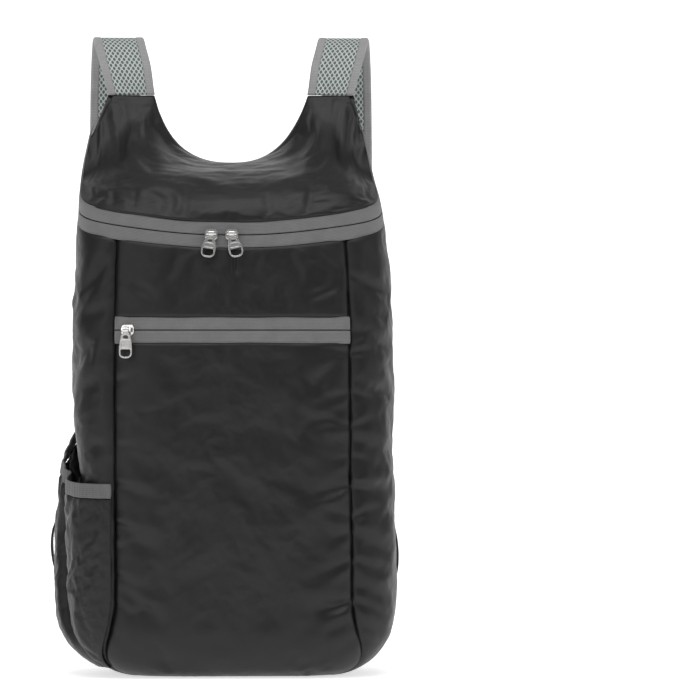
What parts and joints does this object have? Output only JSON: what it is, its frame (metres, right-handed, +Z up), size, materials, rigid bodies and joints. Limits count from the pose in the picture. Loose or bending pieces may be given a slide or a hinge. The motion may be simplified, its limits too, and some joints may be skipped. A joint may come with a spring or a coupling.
{
  "type": "packable backpack",
  "caption": "Light cloth backpack with a curved zip lid, a zipped front pocket, a gathered side pocket and padded mesh shoulder straps.",
  "frame": {"origin": "middle of the flat base, on the surface that the bag stands on", "axes": "+Z up, -Y the bag's front, +X to the right seen from the front"},
  "size_m": [0.2876, 0.1916, 0.52],
  "materials": {
    "bag_cloth": "black calendered nylon with a soft sheen",
    "zip_tape": "matte grey woven tape",
    "elastic_band": "matte grey ribbed elastic",
    "spacer_mesh": "light grey open spacer mesh",
    "strap_binding": "matte grey ribbed binding",
    "webbing": "black ribbed webbing",
    "buckle_plastic": "black moulded plastic",
    "nickel": "polished nickel plate"
  },
  "bodies": {
    "bag": {"base_panel": "bag_cloth", "front_panel_lower": "bag_cloth", "front_panel_upper": "bag_cloth", "left_gore": "bag_cloth", "right_gore": "bag_cloth", "back_panel": "bag_cloth", "lid_panel": "bag_cloth", "side_pocket": "bag_cloth", "side_pocket_band": "elastic_band", "main_zip_tape_lower": "zip_tape", "main_zip_tape_upper": "zip_tape", "main_zip_coil": "zip_tape", "pocket_zip_tape_lower": "zip_tape", "pocket_zip_tape_upper": "zip_tape", "pocket_zip_coil": "zip_tape", "main_zip_slider_left": "nickel", "main_zip_slider_right": "nickel", "pocket_zip_slider": "nickel", "strap_pad_left": "spacer_mesh", "strap_pad_right": "spacer_mesh", "strap_binding_left_outer": "strap_binding", "strap_binding_left_inner": "strap_binding", "strap_binding_right_outer": "strap_binding", "strap_binding_right_inner": "strap_binding", "loop_tape_left": "webbing", "loop_tape_right": "webbing", "ladder_lock_left": "buckle_plastic", "ladder_lock_right": "buckle_plastic", "webbing_left": "webbing", "webbing_right": "webbing"},
    "main_tab_left": {"main_pull_left": "nickel"},
    "main_tab_right": {"main_pull_right": "nickel"},
    "pocket_tab": {"pocket_pull": "nickel"}
  },
  "joints": [
    {"name": "main_tab_left_hinge", "type": "hinge", "parent": "bag", "child": "main_tab_left", "pos_m": [-0.01572, -0.06431, 0.35289], "axis": [-1, 0.0007, 0], "range_deg": [0, 150]},
    {"name": "main_tab_right_hinge", "type": "hinge", "parent": "bag", "child": "main_tab_right", "pos_m": [0.0004, -0.06433, 0.35283], "axis": [-1, 0, 0], "range_deg": [0, 150]},
    {"name": "pocket_tab_hinge", "type": "hinge", "parent": "bag", "child": "pocket_tab", "pos_m": [-0.08253, -0.07066, 0.27676], "axis": [-0.9782, 0.2078, 0], "range_deg": [0, 150]}
  ]
}
